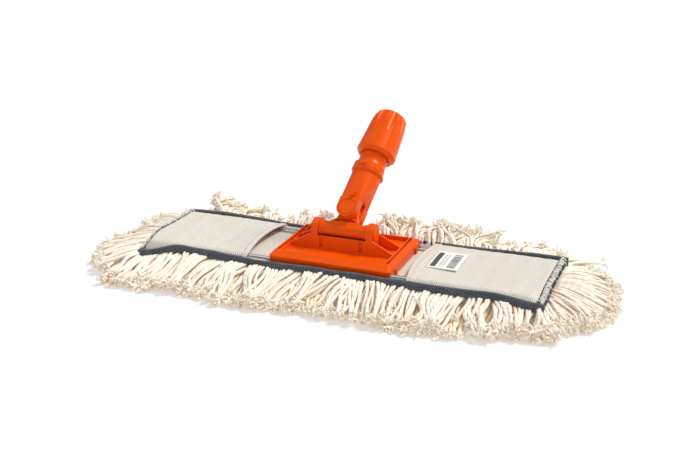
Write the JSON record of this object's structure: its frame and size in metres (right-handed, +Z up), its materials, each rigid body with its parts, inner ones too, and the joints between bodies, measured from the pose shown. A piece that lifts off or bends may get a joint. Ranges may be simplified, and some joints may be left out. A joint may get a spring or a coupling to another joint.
{
  "type": "flat mop",
  "caption": "Flat dust mop: fringed cotton cover on a folding wire frame, centre plate and two-way swivel head with a twist-lock socket for a pole.",
  "frame": {"origin": "on the floor under the centre of the plate", "axes": "+X along the mop, +Y from its front edge to its back edge, +Z up"},
  "size_m": [0.65, 0.2621, 0.1777],
  "materials": {
    "orange_plastic": "moulded, semi-gloss",
    "axle_steel": "plain",
    "chrome_wire": "bright plated",
    "white_nylon": "moulded",
    "canvas": "herringbone cotton canvas",
    "binding_tape": "woven tape",
    "overlock_stitching": "dark and white overlock thread",
    "printed_label": "printed with plain bars",
    "cotton_yarn": "plied cotton yarn"
  },
  "bodies": {
    "plate": {"base_plate": "orange_plastic", "tilt_axle": "axle_steel", "axle_cap_left": "orange_plastic", "axle_cap_right": "orange_plastic", "backing_centre": "canvas", "sole_centre": "cotton_yarn", "binding_front_centre": "binding_tape", "binding_back_centre": "binding_tape", "fringe_front_centre": "cotton_yarn", "fringe_back_centre": "cotton_yarn"},
    "yoke": {"yoke": "orange_plastic"},
    "handle_socket": {"fork_socket": "orange_plastic", "swing_pin": "orange_plastic", "swing_pin_cap": "orange_plastic", "pole_adaptor": "orange_plastic", "button_spring": "axle_steel"},
    "snap_button": {"snap_button": "orange_plastic"},
    "collet": {"collet_ring": "white_nylon"},
    "clamp_nut": {"clamp_nut": "orange_plastic"},
    "left_wing": {"wire_left": "chrome_wire", "pocket_left": "canvas", "end_tape_left": "overlock_stitching", "fringe_end_left": "cotton_yarn", "backing_left": "canvas", "sole_left": "cotton_yarn", "binding_front_left": "binding_tape", "binding_back_left": "binding_tape", "fringe_front_left": "cotton_yarn", "fringe_back_left": "cotton_yarn"},
    "right_wing": {"wire_right": "chrome_wire", "pocket_right": "canvas", "end_tape_right": "overlock_stitching", "fringe_end_right": "cotton_yarn", "label": "printed_label", "backing_right": "canvas", "sole_right": "cotton_yarn", "binding_front_right": "binding_tape", "binding_back_right": "binding_tape", "fringe_front_right": "cotton_yarn", "fringe_back_right": "cotton_yarn"}
  },
  "joints": [
    {"name": "head_tilt", "type": "hinge", "parent": "plate", "child": "yoke", "pos_m": [0, 0, 0.0595], "axis": [1, 0, 0], "range_deg": [-20.5, 119.5]},
    {"name": "head_swing", "type": "hinge", "parent": "yoke", "child": "handle_socket", "pos_m": [0, 0.01764, 0.07457], "axis": [0, 0.6494, -0.7604], "range_deg": [-65.5, 54.5]},
    {"name": "button_press", "type": "slide", "parent": "handle_socket", "child": "snap_button", "axis": [0, 0.6494, -0.7604], "range_m": [0, 0.0012], "stiffness_N_per_m": 600, "deforming": ["button_spring"]},
    {"name": "collet_slide", "type": "slide", "parent": "handle_socket", "child": "collet", "axis": [0.0958, 0.7569, 0.6465], "range_m": [0, 0.0046]},
    {"name": "nut_turn", "type": "hinge", "parent": "collet", "child": "clamp_nut", "pos_m": [0.00958, 0.09333, 0.13921], "axis": [0.0958, 0.7569, 0.6465], "range_deg": [0, 540]},
    {"name": "left_wing_fold", "type": "hinge", "parent": "plate", "child": "left_wing", "pos_m": [-0.06, 0, 0.032], "axis": [0, -1, 0], "range_deg": [0, 60]},
    {"name": "right_wing_fold", "type": "hinge", "parent": "plate", "child": "right_wing", "pos_m": [0.06, 0, 0.032], "axis": [0, 1, 0], "range_deg": [0, 60]}
  ],
  "couplings": [
    {"joint": "collet_slide", "follows": "nut_turn", "m_per_rad": 0.00047746}
  ]
}
